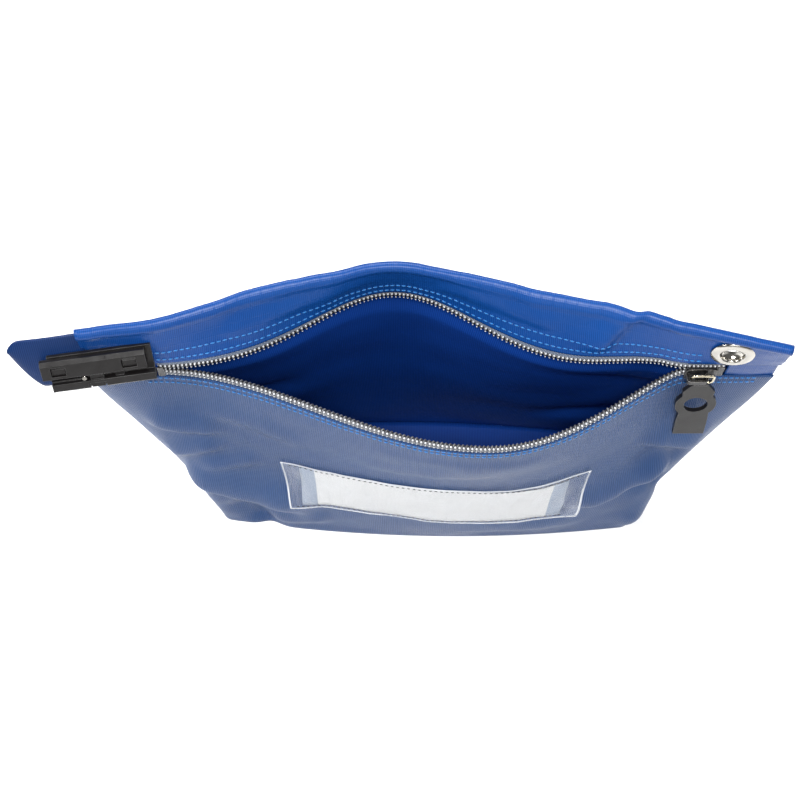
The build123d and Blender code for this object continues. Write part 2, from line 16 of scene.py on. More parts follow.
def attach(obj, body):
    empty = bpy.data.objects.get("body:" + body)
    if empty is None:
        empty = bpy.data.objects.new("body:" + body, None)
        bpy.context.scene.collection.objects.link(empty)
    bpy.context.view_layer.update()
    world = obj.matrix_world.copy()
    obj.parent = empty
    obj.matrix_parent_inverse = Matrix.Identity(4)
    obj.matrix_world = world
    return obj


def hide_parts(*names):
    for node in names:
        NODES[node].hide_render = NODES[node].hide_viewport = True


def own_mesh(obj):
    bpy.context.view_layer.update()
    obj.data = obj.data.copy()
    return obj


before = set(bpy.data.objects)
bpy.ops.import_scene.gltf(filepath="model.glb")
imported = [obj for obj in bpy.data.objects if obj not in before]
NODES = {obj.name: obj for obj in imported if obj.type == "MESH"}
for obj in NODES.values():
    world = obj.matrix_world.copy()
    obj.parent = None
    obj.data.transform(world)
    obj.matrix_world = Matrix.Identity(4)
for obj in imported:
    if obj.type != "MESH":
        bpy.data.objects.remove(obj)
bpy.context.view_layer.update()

MM = 0.001

# %% [markdown]
# ## The camera
# The bag is looked down on, so that its open mouth shows. A long lens keeps the near and the far
# rim almost the same size, as in a catalogue picture. The camera leans 21 degrees from straight
# down, which is 69 degrees above the horizon.

# %% Camera
lens = bpy.data.cameras.new("catalogue_camera")
lens.lens = 67.5
lens.sensor_width = 36.0
lens.clip_end = 20.0
camera = bpy.data.objects.new("catalogue_camera", lens)
camera.location = (-0.0150, -0.2724, 0.8367)
camera.rotation_euler = (math.radians(21.0), 0.0, 0.0)
bpy.context.scene.collection.objects.link(camera)
bpy.context.scene.camera = camera
bpy.context.scene.view_settings.view_transform = "Standard"
print("camera is", round(camera.location.length, 2), "m from the base")

# %% [markdown]
# ## Floor and lights
# Coated cloth shows its shape by the long soft reflections along its folds. Large lamps give these.
# The big lamp stands behind and above, so that the rolled header catches it. The left lamp rakes
# across the front panel and brings out its ribs. The white floor bounces light up underneath.


# %% Floor, sky and lamps
def soft_lamp(name, place, aim, size, power):
    """A square lamp that looks at a point."""
    light = bpy.data.lights.new(name, "AREA")
    light.size = size
    light.energy = power
    lamp = bpy.data.objects.new(name, light)
    lamp.location = place
    lamp.rotation_euler = (Vector(aim) - Vector(place)).to_track_quat("-Z", "Y").to_euler()
    bpy.context.scene.collection.objects.link(lamp)
    return lamp


soft_lamp("back_lamp", (-0.10, 0.95, 1.15), (0.0, 0.0, 0.12), 0.6, 17.0)
soft_lamp("left_lamp", (-1.10, -0.10, 1.15), (0.0, 0.0, 0.10), 0.5, 15.0)
soft_lamp("right_lamp", (1.20, -0.10, 0.95), (0.0, 0.0, 0.10), 0.7, 5.5)
soft_lamp("front_lamp", (0.05, -1.30, 0.85), (0.0, 0.0, 0.08), 0.8, 4.0)
soft_lamp("mouth_lamp", (0.00, -0.40, 1.25), (0.02, 0.0, 0.02), 0.15, 11.0)

sky = bpy.data.worlds.new("pale_studio")
sky.use_nodes = True
sky.node_tree.nodes["Background"].inputs["Color"].default_value = (1.0, 1.0, 1.0, 1.0)
sky.node_tree.nodes["Background"].inputs["Strength"].default_value = 0.17
bpy.context.scene.world = sky

ground = bmesh.new()
bmesh.ops.create_grid(ground, x_segments=1, y_segments=1, size=4.0)
floor_mesh = bpy.data.meshes.new("floor")
ground.to_mesh(floor_mesh)
floor = bpy.data.objects.new("floor", floor_mesh)
bpy.context.scene.collection.objects.link(floor)
floor_paint = bpy.data.materials.new("floor_paint")
floor_paint.use_nodes = True
floor_paint.node_tree.nodes["Principled BSDF"].inputs["Base Color"].default_value = (1.0, 1.0, 1.0, 1)
floor_paint.node_tree.nodes["Principled BSDF"].inputs["Roughness"].default_value = 0.9
floor_mesh.materials.append(floor_paint)

# %% [markdown]
# ## Words for making a finish
# Every finish is one Principled shader. What is the same all over goes straight on its sockets.
# What varies, such as a weave, a stain or a worn edge, comes from small textures. These helpers
# keep each finish down to a few lines that read like a description of the stuff.


# %% Helpers for finishes
def stuff(name, colour, roughness, **sockets):
    """A new material with plain values on its Principled shader."""
    material = bpy.data.materials.new(name)
    material.use_nodes = True
    shader = material.node_tree.nodes["Principled BSDF"]
    shader.inputs["Base Color"].default_value = (*colour, 1)
    shader.inputs["Roughness"].default_value = roughness
    for socket, value in sockets.items():
        shader.inputs[socket.replace("_", " ")].default_value = value
    return material


def shader_of(material):
    return material.node_tree.nodes["Principled BSDF"]


def node(material, kind, **values):
    """A new node, with its named inputs set. A socket given as a value is linked."""
    made = material.node_tree.nodes.new(kind)
    for key, value in values.items():
        socket = made.inputs[key.replace("_", " ")]
        if isinstance(value, bpy.types.NodeSocket):
            material.node_tree.links.new(value, socket)
        else:
            socket.default_value = value
    return made


def lie(material, space):
    """Where a point lies: on the cloth itself (UV, in metres) or in the object's own space."""
    return node(material, "ShaderNodeTexCoord").outputs[space]


def stretch(material, place, scale, turn=0.0):
    """The same places with each direction scaled, and turned in the plane."""
    moved = node(material, "ShaderNodeMapping", Vector=place, Scale=scale)
    moved.inputs["Rotation"].default_value = (0, 0, math.radians(turn))
    return moved.outputs["Vector"]


def speckle(material, place, scale, detail=3.0, rough=0.55):
    """Soft random patches, from 0 to 1."""
    made = node(material, "ShaderNodeTexNoise", Vector=place, Scale=scale, Detail=detail, Roughness=rough)
    return made.outputs["Fac"]


def ribs(material, place, pitch, axis="X"):
    """Round ribs side by side, from 0 to 1, at a pitch in metres."""
    made = node(material, "ShaderNodeTexWave", Vector=place, Scale=math.pi / 10 / pitch)
    made.wave_type = "BANDS"
    made.bands_direction = axis
    return made.outputs["Fac"]


def spread(material, value, low, high, out_low, out_high):
    """The value from low to high, spread out to a new range."""
    made = node(material, "ShaderNodeMapRange", Value=value)
    for key, number in (("From Min", low), ("From Max", high), ("To Min", out_low), ("To Max", out_high)):
        made.inputs[key].default_value = number
    return made.outputs["Result"]


def reckon(material, operation, one, other):
    """One sum of two values."""
    made = material.node_tree.nodes.new("ShaderNodeMath")
    made.operation = operation
    for number, value in enumerate((one, other)):
        if isinstance(value, bpy.types.NodeSocket):
            material.node_tree.links.new(value, made.inputs[number])
        else:
            made.inputs[number].default_value = value
    return made.outputs[0]


def tint(material, share, dark, light):
    """A colour between two, by a share from 0 to 1. Either may be a colour or a socket."""
    made = material.node_tree.nodes.new("ShaderNodeMix")
    made.data_type = "RGBA"
    material.node_tree.links.new(share, made.inputs[0])
    for slot, colour in ((6, dark), (7, light)):
        if isinstance(colour, bpy.types.NodeSocket):
            material.node_tree.links.new(colour, made.inputs[slot])
        else:
            made.inputs[slot].default_value = (*colour, 1)
    return made.outputs[2]


def wire_up(material, socket, value):
    material.node_tree.links.new(value, shader_of(material).inputs[socket])


def emboss(material, layers):
    """Raises the surface by (height from 0 to 1, depth in metres) layers, one on the other."""
    normal = None
    for height, depth in layers:
        made = node(material, "ShaderNodeBump", Height=height, Distance=depth, Strength=1.0)
        if normal is not None:
            material.node_tree.links.new(normal, made.inputs["Normal"])
        normal = made.outputs["Normal"]
    wire_up(material, "Normal", normal)


print("helpers for finishes are ready")

# %% [markdown]
# ## Cloth finishes
# The nylon is woven with fine ribs and coated with PVC. Outside, the ribs run down the bag about
# a millimetre apart, with a painted greyish sheen on their crests. The header is the same colour in
# a smoother, brighter cloth with a faint ripstop grid. Inside, the coating is smooth and dark. The
# ribs follow the cloth's own UV map, which is in metres, so they bend with every fold.


# %% Coated cloth
def coated_cloth(name, dark, light, rib_depth, rib_pitch, rough, grid=0.0, scuffs=0.08, coat=0.06):
    """PVC-coated nylon: ribs down the cloth with a painted sheen on their crests, a ripstop grid, mottled
    colour and scuffs.
    """
    cloth = stuff(name, light, rough, Coat_Weight=coat, Coat_Roughness=0.32, Specular_IOR_Level=0.2)
    place = lie(cloth, "UV")
    rib = ribs(cloth, place, rib_pitch)
    thread = ribs(cloth, place, 0.00045, "Y")
    weave = reckon(cloth, "MULTIPLY", rib, spread(cloth, thread, 0, 1, 0.75, 1.0))
    patches = speckle(cloth, place, 14.0, 4.0)
    fine = speckle(cloth, place, 900.0, 2.0)
    mottled = tint(cloth, spread(cloth, patches, 0.3, 0.7, 0.0, 1.0), dark, light)
    # Painted sheen: the rib crests are painted paler and greyer, standing in for the light's sheen on the
    # ribs.
    ribs_painted_sheen = tint(cloth, spread(cloth, weave, 0.0, 1.0, 0.0, 0.55), mottled, [c * 1.7 + 0.01 for c in light])
    worn = spread(cloth, speckle(cloth, stretch(cloth, place, (1.0, 0.35, 1.0), 18), 46.0, 6.0, 0.7),
                  0.62, 0.80, 0.0, scuffs)
    wire_up(cloth, "Base Color", tint(cloth, worn, ribs_painted_sheen, [c * 1.4 + 0.07 for c in light]))
    patchy = spread(cloth, patches, 0.25, 0.75, rough - 0.07, rough + 0.07)
    wire_up(cloth, "Roughness", reckon(cloth, "ADD", patchy, spread(cloth, fine, 0.3, 0.7, -0.04, 0.04)))
    layers = [(weave, rib_depth), (fine, 0.00003), (patches, 0.0009)]
    if grid:
        lines_x = spread(cloth, ribs(cloth, place, 0.0055), 0.93, 1.0, 0.0, 1.0)
        lines_y = spread(cloth, ribs(cloth, place, 0.0055, "Y"), 0.93, 1.0, 0.0, 1.0)
        layers.append((reckon(cloth, "MAXIMUM", lines_x, lines_y), grid))
    emboss(cloth, layers)
    return cloth


PANEL_CLOTH = coated_cloth("ribbed_panel_cloth", (0.012, 0.038, 0.120), (0.019, 0.055, 0.155),
                           0.00018, 0.0011, 0.38)
HEADER_CLOTH = coated_cloth("cobalt_header_cloth", (0.001, 0.034, 0.170), (0.002, 0.048, 0.215),
                           0.00003, 0.0009, 0.34, grid=0.00005, scuffs=0.03)
LINING = coated_cloth("dark_lining", (0.002, 0.026, 0.160), (0.003, 0.040, 0.240),
                      0.00002, 0.0009, 0.44, scuffs=0.0, coat=0.03)
TONGUE_CLOTH = coated_cloth("navy_tongue_cloth", (0.003, 0.016, 0.070), (0.004, 0.024, 0.100),
                            0.00003, 0.0009, 0.36, scuffs=0.03)
print("cloths:", PANEL_CLOTH.name, HEADER_CLOTH.name, LINING.name)

# %% [markdown]
# ## Thread, tape and coil
# The stitches are bonded polyester thread, a little brighter than the cloth, with a visible twist.
# The zip tape is a herringbone of grey yarn. The coil is glossy nylon monofilament, dark grey with
# patches of grime. Bright beads over the heads and feet of its loops are painted highlights.


# %% Thread, tape and coil finishes
def twisted_thread(name, dark, light):
    """Sewing thread: fine slanting plies."""
    thread = stuff(name, light, 0.55, Sheen_Weight=0.4, Sheen_Roughness=0.4)
    place = lie(thread, "Object")
    plies = ribs(thread, stretch(thread, place, (1, 1, 1), 35), 0.00045)
    wire_up(thread, "Base Color", tint(thread, plies, dark, light))
    emboss(thread, [(plies, 0.00008)])
    return thread


def zip_yarn():
    tape = stuff("grey_zip_tape", (0.20, 0.24, 0.31), 0.78, Sheen_Weight=0.3, Sheen_Roughness=0.5)
    place = lie(tape, "UV")
    across = ribs(tape, place, 0.0007)
    along = ribs(tape, stretch(tape, place, (1, 1, 1), 30), 0.0009, "Y")
    weave = reckon(tape, "MULTIPLY", across, along)
    wire_up(tape, "Base Color", tint(tape, weave, (0.07, 0.10, 0.17), (0.33, 0.38, 0.46)))
    emboss(tape, [(weave, 0.0002)])
    return tape


def coil_nylon():
    coil = stuff("grey_coil_nylon", (0.20, 0.21, 0.23), 0.24, Coat_Weight=0.35, Coat_Roughness=0.15)
    place = lie(coil, "Object")
    grime = spread(coil, speckle(coil, place, 420.0, 4.0), 0.35, 0.7, 0.0, 1.0)
    wire_up(coil, "Base Color", tint(coil, grime, (0.06, 0.06, 0.07), (0.20, 0.205, 0.215)))
    wire_up(coil, "Roughness", spread(coil, grime, 0.0, 1.0, 0.42, 0.24))
    emboss(coil, [(speckle(coil, place, 1500.0), 0.00003)])
    return coil


CYAN_THREAD = twisted_thread("cyan_thread", (0.01, 0.13, 0.42), (0.03, 0.26, 0.66))
BLUE_THREAD = twisted_thread("blue_thread", (0.01, 0.13, 0.42), (0.04, 0.24, 0.62))
BLACK_THREAD = twisted_thread("black_thread", (0.006, 0.006, 0.008), (0.03, 0.03, 0.035))
# Painted highlight: pale beads laid over the coil's loops stand in for the highlights on the glossy nylon.
COIL_HIGHLIGHT_BEADS = stuff("coil_highlight_beads", (0.60, 0.61, 0.63), 0.16, Coat_Weight=0.5, Coat_Roughness=0.08)
# Painted shade: the filler cord is near black, so it also paints the shade in each coil's middle.
CORD_AND_PAINTED_SHADE = stuff("filler_cord_painted_shade", (0.012, 0.012, 0.015), 0.7)
ZIP_TAPE = zip_yarn()
COIL_NYLON = coil_nylon()
print("zip finishes:", ZIP_TAPE.name, COIL_NYLON.name)

# %% [markdown]
# ## Hard finishes
# Moulded black plastic has a fine spark-eroded texture and pale rubbed edges. Metal is brighter
# where it is handled. A Bevel node looks round the corner of a hard edge: where its normal differs
# from the true one there is an edge, and that difference is the mask for the wear.


# %% Plastic, metal, film and card
def edge_mask(material, radius):
    """1 on sharp edges and 0 on flat faces."""
    rounded = material.node_tree.nodes.new("ShaderNodeBevel")
    rounded.samples = 6
    rounded.inputs["Radius"].default_value = radius
    true = material.node_tree.nodes.new("ShaderNodeNewGeometry").outputs["True Normal"]
    same = material.node_tree.nodes.new("ShaderNodeVectorMath")
    same.operation = "DOT_PRODUCT"
    material.node_tree.links.new(rounded.outputs["Normal"], same.inputs[0])
    material.node_tree.links.new(true, same.inputs[1])
    return spread(material, same.outputs["Value"], 0.995, 0.85, 0.0, 1.0), rounded.outputs["Normal"]


def hard_stuff(name, body, worn, roughness, worn_share, grain, grain_depth, **sockets):
    """A moulded or stamped material with a fine grain and rubbed edges."""
    made = stuff(name, body, roughness, **sockets)
    place = lie(made, "Object")
    edge, rounded = edge_mask(made, 0.0004)
    patches = speckle(made, place, 160.0, 5.0, 0.65)
    rub = reckon(made, "MULTIPLY", edge, spread(made, patches, 0.35, 0.65, 0.2, worn_share))
    wire_up(made, "Base Color", tint(made, rub, body, worn))
    smudged = spread(made, patches, 0.3, 0.7, roughness - 0.08, roughness + 0.10)
    wire_up(made, "Roughness", smudged)
    bump = node(made, "ShaderNodeBump", Height=speckle(made, place, grain, 3.0), Distance=grain_depth,
                Strength=1.0, Normal=rounded)
    wire_up(made, "Normal", bump.outputs["Normal"])
    return made


BLACK_PLASTIC = hard_stuff("black_moulded_plastic", (0.009, 0.008, 0.008), (0.14, 0.14, 0.14), 0.34, 0.8,
                           1400.0, 0.00004, Specular_IOR_Level=0.42)
DARK_METAL = hard_stuff("dark_enamelled_metal", (0.028, 0.027, 0.028), (0.55, 0.52, 0.47), 0.32, 1.0,
                        900.0, 0.00002, Metallic=0.75)
WIRE_METAL = hard_stuff("bright_wire", (0.62, 0.56, 0.42), (0.85, 0.82, 0.72), 0.22, 0.7,
                        700.0, 0.00002, Metallic=1.0)
NICKEL = hard_stuff("nickel_plate", (0.50, 0.48, 0.44), (0.80, 0.79, 0.76), 0.15, 0.7,
                    500.0, 0.00002, Metallic=1.0)


def clear_film():
    """Soft clear vinyl: mostly see-through and glossy, with a haze and whitish streaks that are painted
    reflections.
    """
    film = stuff("clear_vinyl_film", (0.90, 0.93, 0.97), 0.10, Specular_IOR_Level=0.6, Coat_Weight=0.6,
                 Coat_Roughness=0.05)
    place = lie(film, "UV")
    streaks = speckle(film, stretch(film, place, (1.0, 0.16, 1.0), 24), 120.0, 5.0, 0.6)
    haze = speckle(film, place, 30.0, 3.0)
    # Painted reflection: the film is whiter and less clear along long slanting streaks, standing in for
    # reflected light.
    painted_reflection_streaks = reckon(film, "MULTIPLY", spread(film, streaks, 0.42, 0.72, 0.4, 1.0), haze)
    apart = node(film, "ShaderNodeSeparateXYZ", Vector=place).outputs
    from_end = reckon(film, "ABSOLUTE", reckon(film, "SUBTRACT", apart["X"], 0.080), 0.0)
    from_edge = reckon(film, "ABSOLUTE", reckon(film, "SUBTRACT", apart["Y"], 0.028), 0.0)
    rim = reckon(film, "MAXIMUM", reckon(film, "GREATER_THAN", from_end, 0.0791),
                 reckon(film, "GREATER_THAN", from_edge, 0.0271))
    wire_up(film, "Alpha", reckon(film, "MAXIMUM", spread(film, painted_reflection_streaks, 0.15, 0.55, 0.03, 0.16),
                                  reckon(film, "MULTIPLY", rim, 0.55)))
    wire_up(film, "Roughness", spread(film, haze, 0.3, 0.7, 0.06, 0.20))
    emboss(film, [(streaks, 0.0004), (haze, 0.0010)])
    return film


def name_card_paper():
    card = stuff("white_card", (0.86, 0.86, 0.85), 0.72)
    place = lie(card, "UV")
    fibre = speckle(card, stretch(card, place, (1, 3, 1)), 1100.0, 4.0)
    paper = tint(card, fibre, (0.55, 0.56, 0.57), (0.64, 0.64, 0.64))
    along = node(card, "ShaderNodeSeparateXYZ", Vector=place).outputs["X"]
    from_middle = reckon(card, "ABSOLUTE", reckon(card, "SUBTRACT", along, 0.070), 0.0)
    ends = reckon(card, "GREATER_THAN", from_middle, 0.062)
    wire_up(card, "Base Color", tint(card, ends, paper, (0.26, 0.31, 0.40)))
    emboss(card, [(fibre, 0.00004), (speckle(card, place, 40.0), 0.0004)])
    return card


CLEAR_FILM = clear_film()
WHITE_CARD = name_card_paper()
print("hard finishes:", BLACK_PLASTIC.name, DARK_METAL.name, WIRE_METAL.name, NICKEL.name)

# %% [markdown]
# ## The shape of the sewn body
# Four outlines make the bag: the boxed base, the side seams, the open mouth and the header's top
# edge. Each wall is ruled between them and then loosened. A point of a wall is named by its share
# of the panel's half width, -1 to 1, and its height. Lengths here are in millimetres.

# %% Sizes of the bag
BASE_HALF, BASE_DEPTH, BASE_BOW, BASE_CORNER = 117.0, 34.0, 8.0, 5.0
RIM_HALF, ZIP_HEIGHT, CLOTH_EDGE, HEADER_TOP = 166.0, 170.0, 162.7, 203.0
CLOTH = 0.8
SIDE_SHARE, CORNER_SHARE = 0.24, 0.08
ZIP_LEFT, ZIP_RIGHT = -131.0, 140.6


# %% Outlines of the base and the mouth
def bump(x, middle, reach, height):
    """A smooth hump of a height at middle."""
    return height * math.exp(-(((x - middle) / reach) ** 2))


def front_rim(x):
    """How far the front rim stands forward of the zip's closed line."""
    if x < 27.0:
        share, power = (27.0 - x) / 161.0, 2.35
    else:
        share, power = (x - 27.0) / 95.5, 1.45
    return 40.0 * max(0.0, 1 - share * share) ** power


def back_rim(x):
    """How far the back rim stands behind it."""
    tail = math.exp(-((110.0 / 56.0) ** 2))
    hill = 38.0 * max(0.0, math.exp(-(((x + 18.0) / 56.0) ** 2)) - tail) / (1 - tail)
    return hill + bump(x, 98, 24, 3.4) * min(1.0, max(0.0, (124 - x) / 14))


def header_edge(x):
    """How far back the header's top edge stands."""
    ridge = 39.0 - 0.255 * (math.hypot(x + 18.0, 15.0) - 15.0)
    return ridge - bump(x, -128, 26, 4.5) + bump(x, 92, 14, 2.0)


def base_point(share):
    """A point of the base's half outline, as (x, depth)."""
    size = abs(share)
    depth = BASE_DEPTH - BASE_BOW
    flat_end = 1 - SIDE_SHARE - CORNER_SHARE / 2
    side_start = flat_end + CORNER_SHARE
    if size <= flat_end:
        x, y = (BASE_HALF - BASE_CORNER) * size / flat_end, depth
    elif size <= side_start:
        turn = math.pi / 2 * (size - flat_end) / CORNER_SHARE
        x = BASE_HALF - BASE_CORNER + BASE_CORNER * math.sin(turn)
        y = depth - BASE_CORNER + BASE_CORNER * math.cos(turn)
    else:
        x, y = BASE_HALF, (depth - BASE_CORNER) * (1 - size) / (1 - side_start)
    return math.copysign(x, share), y + BASE_BOW * (1 - (x / BASE_HALF) ** 2)


print("mouth is", round(front_rim(20) + back_rim(-18)), "mm wide at most")


# %% A point of a wall
def wall(side, share, z):
    """A wall's inner face: side is -1 for the front and +1 for the back."""
    rise = min(z / CLOTH_EDGE, 1.0)
    base_x, base_y = base_point(share)
    rim_x = share * RIM_HALF
    swell = 4 * rise * (1 - rise)
    x = (1 - rise) * base_x + rise * rim_x + math.copysign(swell * 6.0, share) * share * share
    x -= bump(z, 41, 10, 2.8) * max(0.0, share) ** 6
    if z > ZIP_HEIGHT + 4:
        x += 2.2 * max(0.0, (-share - 0.9) / 0.1) * min(1.0, (HEADER_TOP - z) / 24)
    rim_y = front_rim(rim_x) if side < 0 else back_rim(rim_x)
    shoulder = 12.0 * swell * share ** 4 * (1 - share ** 8)
    y = (1 - rise) * base_y + rise * rim_y + shoulder - side * 0.02 * base_x * (1 - rise)
    if side < 0:
        y -= bump(base_x, -89, 7, 2.6) * (1 - rise) ** 3
    if side > 0 and z > ZIP_HEIGHT + 5:
        lean = (z - ZIP_HEIGHT - 5) / 28.0
        y = (1 - lean) * rim_y + lean * header_edge(rim_x)
    return Vector((x, side * (y + 0.5), z))


def outward(side, share, z):
    """The level direction out of a wall."""
    along = wall(side, min(share + 0.01, 1.0), z) - wall(side, max(share - 0.01, -1.0), z)
    return Vector((-side * along.y, side * along.x, 0)).normalized()


def share_at(side, x, z):
    """The share at which a wall passes x, found by halving."""
    low, high = -1.0, 1.0
    for _ in range(28):
        middle = (low + high) / 2
        if wall(side, middle, z).x < x:
            low = middle
        else:
            high = middle
    return (low + high) / 2


print("front wall's middle at half height:", [round(v, 1) for v in wall(-1, 0.0, 80.0)])

# %% [markdown]
# ## Folds
# Stiff coated cloth doesn't wrinkle finely. It breaks into a few long creases that run from a
# corner or a seam. Each fold is a ridge along a line across the cloth, with a steep and a gentle
# side, fading out at both ends. Broad noise on top keeps the flat parts from looking machined.


# %% Ridges across the cloth
def ridge(place, start, end, height, gentle, steep):
    """How far a ridge lifts a place on the cloth; lengths are millimetres along the cloth."""
    start, end = Vector(start), Vector(end)
    run = end - start
    along = (Vector(place) - start).dot(run) / run.length_squared
    across = (Vector(place) - start).cross(run) / run.length
    width = gentle if across > 0 else steep
    fade = min(1.0, max(0.0, (along + 0.15) / 0.4)) * min(1.0, max(0.0, (1.15 - along) / 0.4))
    fade = fade * fade * (3 - 2 * fade)
    return height * fade * math.exp(-((across / width) ** 2))


FRONT_FOLDS = [
    ((-100, 119), (-142, 120), 4.2, 13, 5),
    ((-102, 104), (-138, 86), 3.8, 9, 5),
    ((-66, 34), (-128, 66), 7.5, 20, 8),
    ((-84, 90), (-116, 80), 2.4, 8, 5),
    ((-104, 30), (-92, 2), -3.5, 9, 9),
    ((-56, 22), (-92, 10), 3.0, 12, 6),
    ((142, 100), (104, 113), 4.8, 14, 5),
    ((122, 80), (78, 48), 6.0, 12, 5),
    ((100, 62), (132, 54), -4.5, 9, 9),
    ((144, 38), (114, 6), 3.6, 14, 8),
    ((104, 94), (138, 84), -3.0, 9, 9),
    ((-40, 142), (60, 138), 1.2, 14, 10),
    ((84, 22), (20, 18), 2.0, 14, 6),
    ((-60, 120), (-110, 138), 2.2, 10, 6),
    ((30, 128), (-30, 118), 1.2, 12, 6),
]


def front_fold(share, z):
    """How far the front wall stands out from its ruled shape."""
    place = (share * 158.0, z)
    lift = sum(ridge(place, *fold) for fold in FRONT_FOLDS)
    lift += 1.3 * noise.noise(Vector((place[0] / 34, z / 30, 3.1)))
    lift += 0.35 * noise.noise(Vector((place[0] / 9, z / 13, 7.7)))
    calm = min(1.0, z / 8.0) * min(1.0, max(0.0, (CLOTH_EDGE + 3 - z) / 22.0))
    seam = min(1.0, (1 - abs(share)) / 0.20)
    return lift * calm * seam * seam * (3 - 2 * seam)


def front_place(share, z, out=0.0):
    """A point of the front wall, with its folds, and out from its inner face."""
    return wall(-1, share, z) + outward(-1, share, z) * (front_fold(share, z) + out)


fold_heights = [abs(front_fold(s / 20, z)) for s in range(-20, 21) for z in range(0, 160, 8)]
print("deepest front fold:", round(max(fold_heights), 1), "mm")


# %% The back wall's folds
BACK_FOLDS = [
    ((-150, 60), (-70, 96), 3.4, 13, 9),
    ((150, 70), (60, 40), 3.8, 14, 9),
    ((-110, 20), (-80, 70), -2.6, 12, 12),
    ((40, 150), (120, 120), 2.0, 12, 9),
    ((-30, 60), (40, 90), -1.6, 22, 18),
]


def back_place(share, z, out=0.0):
    """A point of the back wall, which is quiet near the zip and the header."""
    place = (share * 158.0, z)
    lift = sum(ridge(place, *fold) for fold in BACK_FOLDS)
    lift += 1.4 * noise.noise(Vector((place[0] / 36, z / 30, 13.1)))
    calm = min(1.0, z / 8.0) * min(1.0, max(0.0, (CLOTH_EDGE - 4 - z) / 24.0))
    seam = min(1.0, (1 - abs(share)) / 0.05)
    room = 2.6 * min(1.0, max(0.0, (z - 152) / 8.0)) * min(1.0, max(0.0, (181 - z) / 4.0))
    return wall(1, share, z) + outward(1, share, z) * (lift * calm * seam + room + out)


print("back wall is ready")

# %% [markdown]
# ## Making a sheet
# A sheet starts as a flat grid, which also lays out its UV map. Each vertex is then moved to its
# place on the bag, and a Solidify modifier gives the cloth its thickness. That keeps the inside
# and the outside parallel, and lets the two sides have different finishes.


# %% Helpers for sheets
def show(name, bm, materials, body, replaces=(), smooth=True):
    """Turns a bmesh into a finished piece that rides on a body."""
    mesh = bpy.data.meshes.new(name)
    bm.to_mesh(mesh)
    bm.free()
    for material in materials:
        mesh.materials.append(material)
    if smooth:
        mesh.shade_smooth()
    piece = bpy.data.objects.new(name, mesh)
    bpy.context.scene.collection.objects.link(piece)
    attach(piece, body)
    if replaces:
        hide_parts(*replaces)
    return piece


def cut_sheet(columns, rows, width, height, shape, flip=False):
    """A grid of cloth bent to a shape, which gives a point in mm for u and v from 0 to 1."""
    bm = bmesh.new()
    layer = bm.loops.layers.uv.new("cloth")
    bmesh.ops.create_grid(bm, x_segments=columns, y_segments=rows, size=0.5, calc_uvs=True)
    for face in bm.faces:
        for loop in face.loops:
            u, v = loop[layer].uv
            loop[layer].uv = (u * width * MM, v * height * MM)
    for vert in bm.verts:
        vert.co = Vector(shape(vert.co.x + 0.5, vert.co.y + 0.5)) * MM
    if flip:
        bmesh.ops.reverse_faces(bm, faces=bm.faces)
    return bm


EYELET_MIDDLE, EYELET_OUT = (0.141, 0.00099, 0.1882), (-0.1185, -0.9902, 0.0743)
PUNCH_RADIUS, PUNCH_REACH = 0.0078, 0.02


def punch(bm):
    """Punches the eyelet's hole out of a sheet; the flange and the washer hide its edge."""
    middle, axis = Vector(EYELET_MIDDLE), Vector(EYELET_OUT)
    inside = []
    for face in bm.faces:
        away = face.calc_center_median() - middle
        if abs(away.dot(axis)) < PUNCH_REACH and (away - axis * away.dot(axis)).length < PUNCH_RADIUS:
            inside.append(face)
    bmesh.ops.delete(bm, geom=inside, context="FACES")


def thicken(piece, thickness, offset=1.0, inside=0):
    """Cloth thickness, grown outwards; inside is how many material slots on the inner face is."""
    solid = piece.modifiers.new("cloth_thickness", "SOLIDIFY")
    solid.thickness = thickness * MM
    solid.offset = offset
    solid.use_even_offset = True
    solid.material_offset = inside
    return piece


def close_with_zip(piece):
    """Gives a piece its own copy of its mesh."""
    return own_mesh(piece)


print("sheet helpers are ready")

# %% [markdown]
# ## Front and back panels
# Each panel is one piece of cloth. It wraps round the base corners to the side seams, so its lower
# edge is the half outline of the base. The back panel carries on above the zip as the header's
# outer layer, because the tape is sewn onto its face.

# %% Front panel
front_sheet = cut_sheet(166, 90, 332, 163, lambda u, v: front_place(2 * u - 1, v * CLOTH_EDGE))
front_cloth = show("front_panel_cloth", front_sheet, [PANEL_CLOTH, LINING], "bag",
                   ["front_panel"])
thicken(front_cloth, CLOTH, inside=1)
close_with_zip(front_cloth)
print("front panel:", len(front_cloth.data.polygons), "faces")

# %% Back panel
back_sheet = cut_sheet(166, 100, 332, 200, lambda u, v: back_place(2 * u - 1, v * 198.5), flip=True)
punch(back_sheet)
back_cloth = show("back_panel_cloth", back_sheet, [PANEL_CLOTH, LINING], "bag",
                  ["back_panel"])
thicken(back_cloth, CLOTH, inside=1)
close_with_zip(back_cloth)
print("back panel:", len(back_cloth.data.polygons), "faces")


# %% [markdown]
# ## Base
# The base is a lens of the same cloth between the two panels. It lies flat on the floor, and it is
# dark inside like the walls.

# %% Base panel
def base_place(u, v):
    share = 2 * u - 1
    front, back = wall(-1, share, 0), wall(1, share, 0)
    return front.lerp(back, v) + Vector((0, 0, 1.0))


base_sheet = cut_sheet(80, 24, 302, 68, base_place, flip=True)
base_cloth = show("base_cloth", base_sheet, [PANEL_CLOTH, LINING], "bag", ["base_panel"])
thicken(base_cloth, 0.9, inside=1).modifiers[0].use_even_offset = False
close_with_zip(base_cloth)
print("base:", len(base_cloth.data.polygons), "faces")

# %% [markdown]
# ## Header facing and rolled hem
# The header's front layer starts just above the zip tape, runs up, and turns over the back panel's
# top edge in a fat rolled hem. It is one sheet: the roll is drawn as an oval that the sheet goes
# round. The hem undulates a little, since the roll is stuffed with folded cloth.


